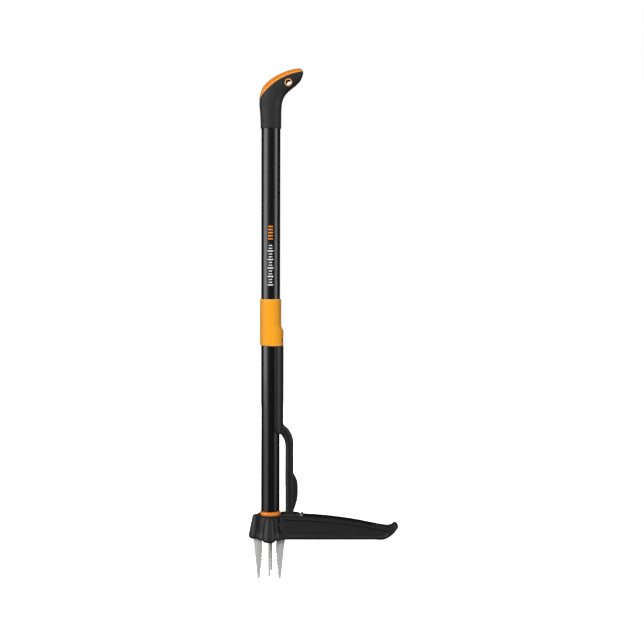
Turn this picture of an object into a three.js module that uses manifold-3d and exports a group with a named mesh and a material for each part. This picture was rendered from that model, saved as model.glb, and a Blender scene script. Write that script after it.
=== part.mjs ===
// Stand-up weeder: a long shaft with a hook grip, a sliding ejector handle, and a
// foot-pedal head that carries four hinged claws.
// Millimetres, +Z up the shaft, +X towards the pedal's tip, +Y away from the front.
// The origin is on the shaft's axis, in the plane of the pedal's underside.
import * as THREE from 'three';
import { mergeVertices } from 'three/addons/utils/BufferGeometryUtils.js';
import Module from 'manifold-3d';

const wasm = await Module();
wasm.setup();

// ---------------------------------------------------------------- driving dimensions
const GAP = 0.3; // clearance between touching pieces
const FAR = 100; // how far a cutting tool runs past the piece

const TUBE = { r: 19, wall: 1.5, bottom: 53, top: 850 };
const COLLAR = { r: 21.7, bottom: 43.9, top: 52.7 };
const FOOT = { r: 17.2, bottom: 41, top: 118, rivetZ: 84, rivetR: 3 };
const EAR = { inner: 10.3, outer: 14.3, r: 5 }; // the foot's ears around the hinge pin
const HINGE = { x: 19, z: 26.4, r: 3, halfLength: 19 };

const GRIP = { bottom: 827, bore: 19.3, stubR: 10, stubTop: 872 };
const EYELET = { x: 36, z: 916.6, outerR: 8.5, innerR: 5.15, halfLength: 16.2 };

const SLEEVE = { r: 21.3, bore: 19.5, bottom: 392.2, top: 486.7, edge: 2 };
const BULGE = { x: 25.9, top: 434, halfWidth: 9 };
const BUSH = { inner: 19.3, outer: 20.2, height: 8 };
const TAB = { inner: 20, outer: 22.6, halfWidth: 6, top: 416 };
const ARM_SCREW = { z: 403.2, headR: 4.7, shankR: 1.5 };

const ARM = { inner: 30.6, outer: 47, halfWidth: 7, bottom: 10.3, bendTop: 230, finHalf: 3 };
const SHROUD = { centreX: 5, r: 21, frontX: 10.2, bottom: 219.5 };
const FORK = { tip: 10.8, web: 34, bottom: 2, top: 9.2, innerHalf: 2.5, tangTop: 30 };

const HEAD = {
  top: 46.8, topR: 26.4, bottom: -4.3, bottomR: 31, cavityR: 19.6, seatR: 23.8, seatBottom: 43.4,
};
const LOBE = { top: 42.8, footR: 13.9 };
const SIDE_LOBE = { topCentre: 27, bottomCentre: 31, bottom: -4.5 };
const CROSS_LOBE = { topCentre: 17.6, bottomCentre: 24.1, bottom: -6.5 };
const POCKET = { left: 24.5, right: 58.5, halfWidth: 9.5, rimTop: 48.6, rim: 3 };
const PEDAL = { start: 22, panelDepth: 2.5, headHalf: 22, tipHalf: 17, wall: 4 };
const GUIDE_PIN = { x: 64.2, z: 46, r: 3.1, halfLength: 10 };
const TREAD = { start: 68, end: 208, halfWidth: 11.5, thickness: 2.6 };
const BASE = { r: 26.7, thickness: 3, screwAt: 22.5, screwHeadR: 3, screwR: 1.5 };

const CLAW = { pivotR: 22.8, pivotZ: 12, pinR: 2, eyeR: 5, thickness: 3, tail: 9.5 };
const SIDE_CLAW_TIP = -89; // the left and right claws
const CROSS_CLAW_TIP = -78; // the front and back claws
const SIDE_BLADE_SHIFT = 2.2; // both side blades hang this far towards the back of the pedal
const TEETH = { count: 5, pitch: 7.8, firstZ: -38.5, depth: 2.4 };
const SPIDER = { hubR: 4, top: 36.6, armTop: 9.1, armBottom: 6.7, armHalf: 2.1, reach: 14.6, pinZ: 33.4 };

const COLOURS = {
  anodised: { color: 0x1b1b1d, roughness: 0.35, metalness: 0.6 },
  moulded: { color: 0x2c2c2e, roughness: 0.55, metalness: 0 },
  rubber: { color: 0x1c1c1d, roughness: 0.85, metalness: 0 },
  orange: { color: 0xf08a24, roughness: 0.45, metalness: 0 },
  amber: { color: 0xf6a92e, roughness: 0.45, metalness: 0 },
  steel: { color: 0xc9cac6, roughness: 0.3, metalness: 1 },
  zinc: { color: 0x8c8e90, roughness: 0.4, metalness: 1 },
  acetal: { color: 0xe6e4dc, roughness: 0.5, metalness: 0 },
};

// ---------------------------------------------------------------- solid helpers
function solid(geometry) {
  const bare = geometry.index ? geometry.toNonIndexed() : geometry.clone();
  bare.deleteAttribute('normal');
  bare.deleteAttribute('uv');
  const merged = mergeVertices(bare, 1e-4);
  return new wasm.Manifold(new wasm.Mesh({
    numProp: 3,
    vertProperties: new Float32Array(merged.attributes.position.array),
    triVerts: new Uint32Array(merged.index.array),
  }));
}

function geometryOf(manifold) {
  const mesh = manifold.getMesh();
  const geometry = new THREE.BufferGeometry();
  geometry.setAttribute('position', new THREE.BufferAttribute(mesh.vertProperties, 3));
  geometry.setIndex(new THREE.BufferAttribute(mesh.triVerts, 1));
  return geometry;
}

function outline(points) {
  return new THREE.Shape(points.map(([a, b]) => new THREE.Vector2(a, b)));
}

function extruded(points, depth) {
  return new THREE.ExtrudeGeometry(outline(points), { depth, bevelEnabled: false, steps: 1 });
}

// An XY outline raised along Z.
function prismZ(points, z0, z1) {
  return solid(extruded(points, z1 - z0).translate(0, 0, z0));
}

// An XZ outline drawn out along Y.
function prismY(points, y0, y1) {
  return solid(extruded(points, y1 - y0).rotateX(Math.PI / 2).translate(0, y1, 0));
}

function block(x0, x1, y0, y1, z0, z1) {
  const box = new THREE.BoxGeometry(x1 - x0, y1 - y0, z1 - z0);
  return solid(box.translate((x0 + x1) / 2, (y0 + y1) / 2, (z0 + z1) / 2));
}

// A turned piece about Z; the profile is [radius, z] pairs that close on themselves.
function turned(profile, segments = 40) {
  const closed = [...profile, profile[0]].map(([r, z]) => new THREE.Vector2(r, z));
  const lathe = new THREE.LatheGeometry(closed, segments).rotateX(Math.PI / 2);
  const body = solid(lathe);
  return body.volume() < 0 ? solid(flipped(lathe)) : body;
}

function flipped(geometry) {
  const mirrored = geometry.clone();
  const order = mirrored.index.array;
  for (let i = 0; i < order.length; i += 3) {
    [order[i], order[i + 1]] = [order[i + 1], order[i]];
  }
  return mirrored;
}

function cylinderZ(r, z0, z1, x = 0, y = 0, segments = 24) {
  const body = new THREE.CylinderGeometry(r, r, z1 - z0, segments).rotateX(Math.PI / 2);
  return solid(body.translate(x, y, (z0 + z1) / 2));
}

function cylinderY(r, y0, y1, x, z, segments = 20) {
  const body = new THREE.CylinderGeometry(r, r, y1 - y0, segments);
  return solid(body.translate(x, (y0 + y1) / 2, z));
}

function cylinderX(r, x0, x1, y, z, segments = 20) {
  const body = new THREE.CylinderGeometry(r, r, x1 - x0, segments).rotateZ(Math.PI / 2);
  return solid(body.translate((x0 + x1) / 2, y, z));
}

function ring(outerR, innerR, z0, z1, segments = 40) {
  return turned([[innerR, z0], [outerR, z0], [outerR, z1], [innerR, z1]], segments);
}

function union(...pieces) {
  return pieces.reduce((whole, piece) => whole.add(piece));
}

function cut(body, ...tools) {
  return tools.reduce((left, tool) => left.subtract(tool), body);
}

// A copy turned about the shaft's axis by quarter turns.
function quarter(body, turns) {
  return body.rotate([0, 0, 90 * turns]);
}

function curvePoints(controls, count) {
  const curve = new THREE.SplineCurve(controls.map(([a, b]) => new THREE.Vector2(a, b)));
  return curve.getPoints(count).map((p) => [p.x, p.y]);
}

function arcPoints(cx, cz, r, fromDeg, toDeg, count) {
  return Array.from({ length: count + 1 }, (_, i) => {
    const t = THREE.MathUtils.degToRad(fromDeg + ((toDeg - fromDeg) * i) / count);
    return [cx + r * Math.cos(t), cz + r * Math.sin(t)];
  });
}

// A body through elliptical sections. Each section runs from a point on the back of the
// side view to a point on its front, and has its own half-width along Y.
function lofted(sections, segments = 28) {
  const positions = [];
  const push = (p) => positions.push(p[0], p[1], p[2]);
  const rings = sections.map(({ back, front, half }) => Array.from({ length: segments }, (_, i) => {
    const t = (2 * Math.PI * i) / segments;
    const mix = 0.5 + 0.5 * Math.cos(t);
    return [
      back[0] + (front[0] - back[0]) * mix,
      half * Math.sin(t),
      back[1] + (front[1] - back[1]) * mix,
    ];
  }));
  const centre = ({ back, front }) => [(back[0] + front[0]) / 2, 0, (back[1] + front[1]) / 2];
  const first = centre(sections[0]);
  const last = centre(sections[sections.length - 1]);
  for (let i = 0; i < segments; i += 1) {
    const j = (i + 1) % segments;
    [first, rings[0][j], rings[0][i]].forEach(push);
    for (let k = 0; k + 1 < rings.length; k += 1) {
      [rings[k][i], rings[k][j], rings[k + 1][j]].forEach(push);
      [rings[k][i], rings[k + 1][j], rings[k + 1][i]].forEach(push);
    }
    [last, rings[rings.length - 1][i], rings[rings.length - 1][j]].forEach(push);
  }
  const geometry = new THREE.BufferGeometry();
  geometry.setAttribute('position', new THREE.Float32BufferAttribute(positions, 3));
  return solid(geometry);
}

// ---------------------------------------------------------------- shaft
function shaftTube() {
  const { r, wall, bottom, top } = TUBE;
  return cut(
    ring(r, r - wall, bottom, top, 48),
    cylinderY(FOOT.rivetR + GAP, 0, FAR, 0, FOOT.rivetZ),
  );
}

// The moulded foot plugs the tube, reaches back to the hinge pin with two ears, and holds
// the lift spider's cross pin in a slotted yoke.
function shaftFoot() {
  const ear = [
    [-4, 43.4], [-4, 38], [13, 23], ...arcPoints(HINGE.x, HINGE.z, EAR.r, 230, 390, 8),
    [17, 42], [14, 43.4],
  ];
  const yoke = [[-6, FOOT.bottom + 4], [-6, 29], [6, 29], [6, FOOT.bottom + 4]];
  const yokeSlot = block(-3.4, 4.2, -FAR, FAR, SPIDER.pinZ - 2.6, SPIDER.pinZ + 2.6);
  const plug = turned([
    [0, FOOT.bottom], [FOOT.r, FOOT.bottom], [FOOT.r, FOOT.top - 3], [FOOT.r - 3, FOOT.top],
    [0, FOOT.top],
  ]);
  return cut(
    union(
      plug,
      prismY(ear, EAR.inner, EAR.outer),
      prismY(ear, -EAR.outer, -EAR.inner),
      prismY(yoke, 5, 8),
      prismY(yoke, -8, -5),
    ),
    yokeSlot,
    cylinderY(HINGE.r + GAP, -FAR, FAR, HINGE.x, HINGE.z),
    cylinderZ(12, FOOT.bottom + 10, FAR + FOOT.top),
    cylinderY(FOOT.rivetR + GAP, 0, FAR, 0, FOOT.rivetZ),
  );
}

function footRivet() {
  return union(
    cylinderY(FOOT.rivetR, 12.5, TUBE.r + 0.6, 0, FOOT.rivetZ),
    cylinderY(FOOT.rivetR + 1.8, TUBE.r + 0.4, TUBE.r + 1.6, 0, FOOT.rivetZ),
  );
}

// The bowl-shaped trim ring between the tube's end and the head.
function shaftCollar() {
  const { r, bottom, top } = COLLAR;
  const inner = FOOT.r + GAP;
  return turned([
    [inner, bottom], [r - 3.6, bottom], [r - 1.6, bottom + 0.8], [r - 0.4, bottom + 2.4],
    [r, bottom + 4.2], [r - 0.4, top - 2.4], [r - 1.3, top - 0.8], [r - 2.5, top], [inner, top],
  ], 48);
}

// ---------------------------------------------------------------- handle
function gripSections() {
  return [
    { back: [-20.6, 827], front: [20.6, 827], half: 20.6 },
    { back: [-21, 843], front: [20.7, 843], half: 20.6 },
    { back: [-21.8, 858], front: [20.8, 857], half: 20.4 },
    { back: [-23, 871], front: [21.4, 869], half: 20.1 },
    { back: [-23.2, 881], front: [22.6, 878.5], half: 19.6 },
    { back: [-21.2, 894], front: [25, 886], half: 19 },
    { back: [-15, 909.3], front: [29.3, 893.5], half: 18.2 },
    { back: [-3, 921.8], front: [35.8, 900.3], half: 17.6 },
    { back: [11.1, 930.8], front: [43.8, 906.8], half: 17.1 },
    { back: [27, 938.2], front: [51.6, 913.2], half: 16.4 },
    { back: [42, 942.8], front: [58.6, 920.8], half: 15.2 },
    { back: [52.3, 944.8], front: [62.6, 929.5], half: 12.4 },
    { back: [58, 944.9], front: [64.4, 936.4], half: 7.5 },
    { back: [61.4, 943.3], front: [64.3, 939.6], half: 3 },
  ];
}

const CAP_LINE = [[-27, 874], [-20, 887], [-10.7, 899.7], [13.7, 920.3], [40, 933.4], [72, 941.6]];

// Everything above the cap's lower edge, moved up by a clearance.
function capRegion(lift) {
  const edge = curvePoints(CAP_LINE, 20).map(([x, z]) => [x - lift * 0.6, z + lift * 0.8]);
  return prismY([...edge, [72, 980], [-60, 980], [-60, 874 + lift]], -FAR, FAR);
}

function eyeletHole() {
  return cylinderY(EYELET.outerR + GAP, -FAR, FAR, EYELET.x, EYELET.z, 28);
}

function gripScrewHole() {
  return union(cylinderZ(2.3, 850, 893), cylinderZ(4.8, 886, 960));
}

function handleGrip() {
  return cut(
    lofted(gripSections()),
    capRegion(0),
    cylinderZ(GRIP.bore, GRIP.bottom - 10, TUBE.top + GAP, 0, 0, 48),
    cylinderZ(GRIP.stubR + GAP, TUBE.top, GRIP.stubTop + GAP),
    gripScrewHole(),
    eyeletHole(),
  );
}

function handleCap() {
  return cut(lofted(gripSections()).intersect(capRegion(GAP)), eyeletHole());
}

function hangingEyelet() {
  const { outerR, innerR, halfLength, x, z } = EYELET;
  const lip = 0.7;
  const profile = [
    [innerR + lip, -halfLength], [outerR, -halfLength], [outerR, halfLength],
    [innerR + lip, halfLength], [innerR, halfLength - lip], [innerR, lip - halfLength],
  ];
  return turned(profile, 28).rotate([90, 0, 0]).translate([x, 0, z]);
}

// The plug in the top of the tube that the grip is screwed down on.
function handleCore() {
  const { stubR, stubTop } = GRIP;
  const tubeBore = TUBE.r - TUBE.wall - GAP;
  return cut(
    turned([
      [0, 800], [tubeBore - 2, 800], [tubeBore, 802], [tubeBore, TUBE.top], [stubR, TUBE.top],
      [stubR, stubTop], [0, stubTop],
    ]),
    cylinderZ(2.3, 846, FAR + stubTop),
  );
}

function gripScrew() {
  return cut(
    turned([[0, 848], [1.6, 848], [2, 850], [2, 886.3], [4.4, 886.3], [4.4, 889], [3.4, 890],
      [0, 890]], 20),
    block(-2.6, 2.6, -0.5, 0.5, 889, 892),
  );
}

// ---------------------------------------------------------------- ejector
function bulge(halfWidth, depth, z0, z1) {
  const side = [
    [10, z0], [depth, z0], [depth, z1 - 14], [SLEEVE.r - 1, z1], [10, z1],
  ];
  return prismY(side, -halfWidth, halfWidth);
}

function ejectSleeve() {
  const { r, bore, bottom, top, edge } = SLEEVE;
  const barrel = turned([
    [bore, bottom], [r - edge + 0.6, bottom], [r, bottom + edge], [r, top - edge],
    [r - edge + 0.6, top], [bore, top],
  ], 48);
  const bushSeat = BUSH.outer + GAP;
  const { inner, halfWidth, outer } = TAB;
  return cut(
    union(barrel, bulge(BULGE.halfWidth, BULGE.x, bottom, BULGE.top)),
    cylinderZ(bore, bottom - 1, top + 1, 0, 0, 48),
    cylinderZ(bushSeat, bottom - 1, bottom + BUSH.height + 1, 0, 0, 48),
    cylinderZ(bushSeat, top - BUSH.height - 1, top + 1, 0, 0, 48),
    block(inner - 2, outer + GAP, -halfWidth - GAP, halfWidth + GAP, bottom - 1, TAB.top + GAP),
    cylinderX(5, BULGE.x - 1.7, FAR, 0, ARM_SCREW.z, 24),
    cylinderX(ARM_SCREW.shankR + GAP, 10, FAR, 0, ARM_SCREW.z, 16),
  );
}

// A split liner ring that glides on the tube. The lower one opens around the arm's tab.
function glideBush(z0, openForTab) {
  const body = ring(BUSH.outer, BUSH.inner, z0, z0 + BUSH.height, 48);
  const half = openForTab ? TAB.halfWidth + GAP : 1;
  return cut(body, block(0, FAR, -half, half, z0 - 1, z0 + BUSH.height + 1));
}

// The arm hugs the tube under the sleeve, bends away from it and runs straight down into
// the pedal's pocket. A thin half-moon fin stiffens its outer edge.
function ejectorArm() {
  const { inner, outer, halfWidth, bottom, bendTop, finHalf } = ARM;
  const top = SLEEVE.bottom - GAP;
  const side = [
    [15, 273], [15, 214.5], [19, 212.8],
    ...curvePoints([[19, 212.8], [25.6, 204], [29.6, 194.6], [inner, 184]], 8).slice(1),
    [inner, bottom], [outer, bottom], [outer, 190],
    ...curvePoints([[outer, 190], [46, 202], [42.2, 212.8], [36, 222.4], [26, 231.6]], 8).slice(1),
    [26, 273],
  ];
  const shroud = cut(
    cylinderZ(SHROUD.r, SHROUD.bottom, top, SHROUD.centreX, 0, 48),
    block(-FAR, SHROUD.frontX, -FAR, FAR, 0, bendTop + FAR * 2),
  );
  const fin = [[outer - 4, 52], [outer, 50], ...curvePoints([[outer, 50], [54.9, 76], [56.3, 98],
    [54.5, 116], [outer, 131]], 12).slice(1), [outer - 4, 133]];
  const tab = block(TAB.inner, TAB.outer, -TAB.halfWidth, TAB.halfWidth, top - 3, TAB.top);
  const grooveForClaw = block(inner - 1, 33, -2.3, 2.3, bottom - 1, 105);
  const tangSlot = block(32.6, 44.4, -2.8, 2.8, bottom - 1, FORK.tangTop + GAP);
  return cut(
    union(cut(union(shroud, prismY(side, -halfWidth, halfWidth)),
      cylinderZ(TUBE.r + 0.5, 0, FAR * 4, 0, 0, 48)), tab, prismY(fin, -finHalf, finHalf)),
    grooveForClaw,
    tangSlot,
    cylinderY(2 + GAP, -FAR, FAR, 38.5, 21, 16),
    cylinderX(ARM_SCREW.shankR + GAP, 10, FAR, 0, ARM_SCREW.z, 16),
  );
}

function armScrew() {
  const { z, headR, shankR } = ARM_SCREW;
  const seat = BULGE.x - 1.7 + 0.1;
  return cut(
    union(cylinderX(shankR, 20.4, seat + 0.4, 0, z, 12), cylinderX(headR, seat, seat + 1.3, 0, z)),
    block(seat + 0.7, seat + 3, -0.5, 0.5, z - 3, z + 3),
    block(seat + 0.7, seat + 3, -3, 3, z - 0.5, z + 0.5),
  );
}

// Two prongs straddle the right-hand claw; their tang is pinned in the arm's foot.
function ejectorFork() {
  const { tip, web, bottom, top, innerHalf, tangTop } = FORK;
  const outerHalf = ARM.halfWidth;
  const prong = [[tip, top], [tip, bottom + 3], [tip + 3, bottom], [46.8, bottom], [46.8, top]];
  return cut(
    union(
      prismY(prong, innerHalf, outerHalf),
      prismY(prong, -outerHalf, -innerHalf),
      block(web, 46.8, -innerHalf - 1, innerHalf + 1, bottom, top),
      block(33, 44, -innerHalf, innerHalf, top - 1, tangTop),
    ),
    cylinderY(2 + GAP, -FAR, FAR, 38.5, 21, 16),
  );
}

function forkPin() {
  return cylinderY(2, -6.8, 6.8, 38.5, 21, 16);
}

// ---------------------------------------------------------------- head and pedal
// A leaning, rounded cone: one claw's housing, pointing along +X.
function lobe({ topCentre, bottomCentre, bottom: z0 }) {
  const z1 = LOBE.top;
  const r = LOBE.footR;
  const cone = turned([
    [0, z0], [r - 3.6, z0], [r - 1.4, z0 + 1], [r - 0.3, z0 + 3], [r, z0 + 6], [9.4, z1 - 3],
    [8.4, z1 - 0.9], [6, z1], [0, z1],
  ], 32);
  const lean = (topCentre - bottomCentre) / (z1 - z0);
  return cone.warp((v) => {
    v[0] += bottomCentre + lean * (v[2] - z0);
  });
}

function pedalSide() {
  return [
    [PEDAL.start, HEAD.bottom], [60, HEAD.bottom], [218, 0],
    ...curvePoints([[218, 0], [236, 2.2], [249.4, 10.8], [260, 21.8], [260.4, 26.6], [255.6, 31]], 14)
      .slice(1),
    ...curvePoints([[255.6, 31], [252, 30.8], [248, 26.2], [240, 23.6]], 6).slice(1),
    ...curvePoints([[240, 23.6], [178, 35], [120, 41.7], [66, 44.4], [PEDAL.start, 43.4]], 14)
      .slice(1),
  ];
}

// The pedal seen from above: a little narrower towards its rounded tip.
function pedalPlan() {
  const { start, headHalf, tipHalf } = PEDAL;
  return [
    [start, -headHalf], [60, -headHalf], [246, -tipHalf],
    ...arcPoints(246, 0, tipHalf, -70, 70, 8).map(([x, y]) => [Math.min(x, 264), y]),
    [246, tipHalf], [60, headHalf], [start, headHalf],
  ];
}

// The hollow flank of the pedal: everything inside a lip that follows its outline.
function flankPanel(side) {
  const lip = 6;
  const panel = [
    [32, lip], [224, lip], ...curvePoints([[224, lip], [234, 8.6], [239, 13.4], [235, 18]], 6).slice(1),
    ...curvePoints([[235, 18], [178, 28.8], [120, 35.6], [66, 38.4], [32, 38]], 10).slice(1),
  ];
  const taper = Math.atan2(PEDAL.headHalf - PEDAL.tipHalf, 246 - 60);
  const floor = PEDAL.headHalf - PEDAL.panelDepth;
  const tool = prismY(panel, floor, FAR).translate([-60, -floor, 0]);
  const turnedIn = tool.rotate([0, 0, -THREE.MathUtils.radToDeg(taper)]).translate([60, floor, 0]);
  return side > 0 ? turnedIn : turnedIn.mirror([0, 1, 0]);
}

// The pedal is open underneath, with cross ribs between the cells.
function underCells() {
  const starts = [70, 103, 136, 169, 202];
  const cellLength = 29;
  const roof = [[60, 38], [120, 35], [178, 27.5], [236, 14.5]];
  return starts.map((x0) => {
    const x1 = Math.min(x0 + cellLength, 229);
    const height = (x) => {
      const k = roof.findIndex(([rx]) => rx > x);
      const [[xa, za], [xb, zb]] = [roof[k - 1], roof[k]];
      return za + ((zb - za) * (x - xa)) / (xb - xa);
    };
    const half = PEDAL.headHalf - PEDAL.panelDepth - PEDAL.wall - (x1 - 60) * 0.027;
    return prismY([[x0, -FAR], [x1, -FAR], [x1, height(x1)], [x0, height(x0)]], -half, half);
  });
}

function treadOutline(grow) {
  const top = curvePoints([[TREAD.start - grow, 44.6], [120, 42], [TREAD.end + grow, 29.9]], 8);
  const under = [...top].reverse().map(([x, z]) => [x, z - TREAD.thickness - grow]);
  return [...top.map(([x, z]) => [x, z + 3 * grow]), ...under];
}

// Room for a claw in its lobe: stepped, so that the lobe's leaning outer wall stays whole.
function clawSlot(halfWidth) {
  const step = (reach, top) => block(7, reach, -halfWidth, halfWidth, -FAR, top);
  return union(step(34.6, 1), step(31.6, 10.5), step(29.6, 20.5), step(24, 24.5));
}

function pedalHousing() {
  const { top, topR, bottom, bottomR, cavityR, seatR, seatBottom } = HEAD;
  const body = turned([
    [0, bottom], [bottomR - 3, bottom], [bottomR, bottom + 3.5], [topR, top - 1.6],
    [topR - 1.2, top], [0, top],
  ], 48);
  const pedal = prismY(pedalSide(), -FAR, FAR).intersect(prismZ(pedalPlan(), -FAR, FAR));
  const rim = block(25.2, POCKET.right - 6, -POCKET.halfWidth - POCKET.rim,
    POCKET.halfWidth + POCKET.rim, 30, POCKET.rimTop)
    .add(cylinderZ(POCKET.halfWidth + POCKET.rim, 30, POCKET.rimTop, 48.5, 0, 32));
  const sideLobe = lobe(SIDE_LOBE);
  const crossLobe = lobe(CROSS_LOBE);
  const pocketHalf = POCKET.halfWidth;
  const pocket = block(POCKET.left, POCKET.right, -pocketHalf, pocketHalf, -FAR, FAR);
  const pinR = CLAW.pinR + GAP;
  const slot = clawSlot(CLAW.thickness / 2 + 0.8);
  const screwHole = cylinderZ(BASE.screwR + GAP, 0, 14, BASE.screwAt, 0, 12).rotate([0, 0, 45]);
  const { x, z, r, halfLength } = GUIDE_PIN;
  const earSlot = prismY([[-6, FAR], [-6, 36], [10, 20], [19, 20], [24.4, 24], [24.4, 31], [19.5, 40],
    [19.5, FAR]], EAR.inner - GAP, EAR.outer + GAP);
  const whole = union(body, pedal, rim, quarter(sideLobe, 2), quarter(crossLobe, 1),
    quarter(crossLobe, 3));
  const hollows = [
    flankPanel(1), flankPanel(-1), ...underCells(),
    prismY(treadOutline(GAP), -TREAD.halfWidth - GAP, TREAD.halfWidth + GAP),
    cylinderZ(cavityR, BASE.thickness, FAR, 0, 0, 40),
    cylinderZ(seatR, seatBottom, FAR, 0, 0, 48),
    cylinderZ(BASE.r + GAP, -FAR, BASE.thickness + GAP, 0, 0, 48),
    earSlot, earSlot.mirror([0, 1, 0]),
    block(8.2, 30, -ARM.halfWidth - 0.8, ARM.halfWidth + 0.8, -FAR, 13),
    pocket,
    slot, quarter(slot, 1), quarter(slot, 2), quarter(slot, 3),
    cylinderY(HINGE.r + GAP, -HINGE.halfLength - GAP, HINGE.halfLength + GAP, HINGE.x, HINGE.z),
    cylinderY(pinR, -FAR, FAR, CLAW.pivotR, CLAW.pivotZ, 16),
    cylinderY(pinR, -FAR, FAR, -CLAW.pivotR, CLAW.pivotZ, 16),
    cylinderX(pinR, -9.3, 9.3, CLAW.pivotR, CLAW.pivotZ, 16),
    cylinderX(pinR, -9.3, 9.3, -CLAW.pivotR, CLAW.pivotZ, 16),
    cylinderY(r + GAP, -halfLength - GAP, halfLength + GAP, x, z, 20),
    ...[0, 1, 2, 3].map((turns) => quarter(screwHole, turns)),
  ];
  return cut(whole, ...hollows);
}

function treadPad() {
  const grooves = Array.from({ length: 14 }, (_, i) => TREAD.start + 9 + i * 9.4).map((x) => (
    block(x - 1, x + 1, -9, 9, treadTopAt(x) - 0.9, FAR)));
  return cut(prismY(treadOutline(0), -TREAD.halfWidth, TREAD.halfWidth), ...grooves);
}

function treadTopAt(x) {
  const top = treadOutline(0).slice(0, 9);
  const k = Math.max(1, top.findIndex(([px]) => px >= x));
  const [[xa, za], [xb, zb]] = [top[k - 1], top[k]];
  return za + ((zb - za) * (x - xa)) / (xb - xa);
}

// The plate under the head: slots for the claws, a notch for the fork and the arm.
function basePlate() {
  const slot = clawSlot(CLAW.thickness / 2 + 0.8).translate([3.8, 0, 0]);
  const notchHalf = ARM.halfWidth + 1.4;
  const screwHole = union(
    cylinderZ(BASE.screwR + GAP, -1, 10, BASE.screwAt, 0, 12),
    cylinderZ(BASE.screwHeadR + GAP, -1, 1.6, BASE.screwAt, 0, 20),
  ).rotate([0, 0, 45]);
  return cut(
    cylinderZ(BASE.r, 0, BASE.thickness, 0, 0, 48),
    quarter(slot, 1), quarter(slot, 2), quarter(slot, 3),
    block(8.2, FAR, -notchHalf, notchHalf, -1, FAR),
    ...[0, 1, 2, 3].map((turns) => quarter(screwHole, turns)),
  );
}

function baseScrew(turns) {
  const { screwAt, screwHeadR, screwR } = BASE;
  const body = union(
    cylinderZ(screwHeadR, 0.1, 1.3, screwAt, 0, 20),
    cylinderZ(screwR, 1, 12, screwAt, 0, 12),
  );
  return quarter(cut(body, block(screwAt - 2, screwAt + 2, -0.4, 0.4, -1, 0.6)).rotate([0, 0, 45]), turns);
}

function hingePin() {
  return cylinderY(HINGE.r, -HINGE.halfLength, HINGE.halfLength, HINGE.x, HINGE.z);
}

function guidePin() {
  const { x, z, r, halfLength } = GUIDE_PIN;
  return cylinderY(r, -halfLength, halfLength, x, z);
}

// ---------------------------------------------------------------- claws and their lift
// One claw in its own plane, pointing down from its pivot on the +X side: an eye on the
// pin, a tail towards the shaft's axis, and a tapering blade with a saw-toothed inner edge.
function clawProfile(tipZ, shift) {
  const { pivotR, pivotZ, eyeR, tail } = CLAW;
  const lift = tipZ - SIDE_CLAW_TIP;
  const { count, pitch, firstZ, depth } = TEETH;
  const bendZ = firstZ - 3.5 + lift; // below it the inner edge sweeps out to the tip
  const innerAt = (z) => 12.8 + shift - 0.03 * z + 0.0034 * Math.max(0, bendZ - z) ** 2;
  const saw = [];
  for (let i = 0; i < count; i += 1) {
    const z = firstZ + lift - pitch * i;
    saw.push([innerAt(z) + depth, z], [innerAt(z - 3.6), z - 3.6], [innerAt(z - 4.6), z - 4.6]);
  }
  return [
    [pivotR - tail, pivotZ - 2.5], [pivotR - 4.6, pivotZ - 2.5], [14.6 + shift, -4],
    [13.8 + shift, firstZ + 4 + lift], ...saw,
    [19.6 + shift, tipZ + 1.6], [20.4 + shift, tipZ], [22.6 + shift, tipZ], [23.8 + shift, tipZ + 1.8],
    [32.4 + shift, -7.6], ...arcPoints(pivotR, pivotZ, eyeR, -20, 110, 8),
    [pivotR - 4.6, pivotZ + 2.5], [pivotR - tail, pivotZ + 2.5],
  ];
}

function claw(turns, tipZ, shift = 0) {
  const half = CLAW.thickness / 2;
  const blade = cut(
    prismY(clawProfile(tipZ, shift), -half, half),
    cylinderY(CLAW.pinR + GAP, -FAR, FAR, CLAW.pivotR, CLAW.pivotZ, 16),
  );
  return quarter(blade, turns);
}

function sideClawPin(side) {
  return cylinderY(CLAW.pinR, -14.5, 14.5, side * CLAW.pivotR, CLAW.pivotZ, 16);
}

function crossClawPin(side) {
  return cylinderX(CLAW.pinR, -9, 9, side * CLAW.pivotR, CLAW.pivotZ, 16);
}

// The cross-shaped lifter under the claws' tails; its stem hangs in the foot's yoke.
function liftSpider() {
  const { hubR, top, armTop, armBottom, armHalf, reach, pinZ } = SPIDER;
  const arm = block(-reach, reach, -armHalf, armHalf, armBottom, armTop);
  return cut(
    union(cylinderZ(hubR, armBottom - 2, top, 0, 0, 24), arm, quarter(arm, 1)),
    cylinderY(2 + GAP, -FAR, FAR, 0, pinZ, 16),
  );
}

function liftPin() {
  return cylinderY(2, -9.5, 9.5, 0, SPIDER.pinZ, 16);
}

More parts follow.
